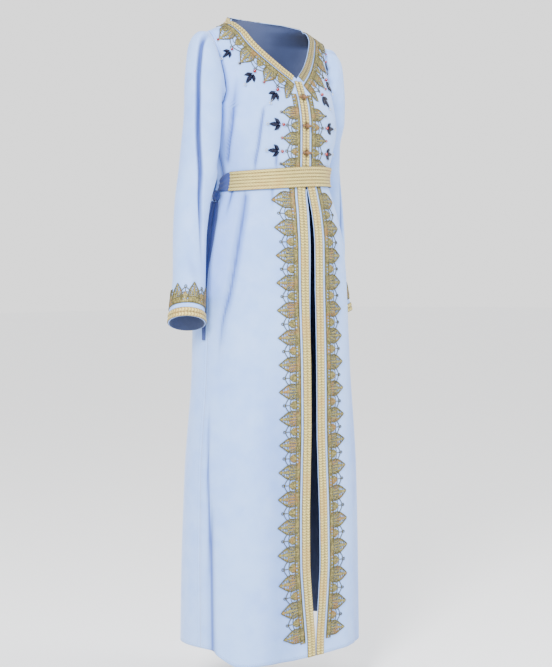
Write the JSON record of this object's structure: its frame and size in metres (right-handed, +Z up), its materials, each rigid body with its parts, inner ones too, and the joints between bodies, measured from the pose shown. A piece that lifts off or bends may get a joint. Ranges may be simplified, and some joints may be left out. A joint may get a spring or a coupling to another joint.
{
  "type": "kaftan",
  "caption": "Long open-front kaftan in pale blue cloth with gold braid, cut lace and dark stones down the front, a braided belt at the waist and long narrow sleeves, hollow as when worn.",
  "frame": {"origin": "midway between the two points where the shoulder seams meet the neckline, where the wearer's shoulders hold it up", "axes": "+Z up along the wearer, -Y out of the front, +X to the wearer's left"},
  "size_m": [0.6194, 0.3038, 1.4894],
  "materials": {
    "cloth": "matt woven cloth with a soft sheen",
    "gold_braid": "metallic thread braid",
    "gold_lace": "dull metallic thread lace",
    "navy_stone": "faceted, polished",
    "amber_knot": "silk cord knot"
  },
  "bodies": {
    "root": {"back": "cloth", "back_neck_band_left": "gold_braid", "back_neck_band_right": "gold_braid", "belt_gold": "gold_braid", "belt_knot": "cloth", "belt_tie_back": "cloth", "belt_tie_right": "cloth", "button_1": "amber_knot", "button_2": "amber_knot", "button_3": "amber_knot", "button_loop_1": "gold_braid", "button_loop_2": "gold_braid", "button_loop_3": "gold_braid", "chest_band_left": "gold_braid", "chest_band_right": "gold_braid", "chest_lace_left": "gold_lace", "chest_lace_right": "gold_lace", "cuff_band_left": "gold_braid", "cuff_band_right": "gold_braid", "cuff_lace_left": "gold_lace", "cuff_lace_right": "gold_lace", "front_left": "cloth", "front_right": "cloth", "neck_band_left": "gold_braid", "neck_band_right": "gold_braid", "neck_lace_left": "gold_lace", "neck_lace_right": "gold_lace", "skirt_band_left": "gold_braid", "skirt_band_right": "gold_braid", "skirt_lace_left": "gold_lace", "skirt_lace_right": "gold_lace", "sleeve_left": "cloth", "sleeve_right": "cloth", "stones_left_1": "navy_stone", "stones_left_2": "navy_stone", "stones_left_3": "navy_stone", "stones_left_4": "navy_stone", "stones_left_5": "navy_stone", "stones_right_1": "navy_stone", "stones_right_2": "navy_stone", "stones_right_3": "navy_stone", "stones_right_4": "navy_stone", "stones_right_5": "navy_stone", "tie_tail_long": "cloth", "tie_tail_short": "cloth", "underlap": "cloth"}
  },
  "joints": []
}
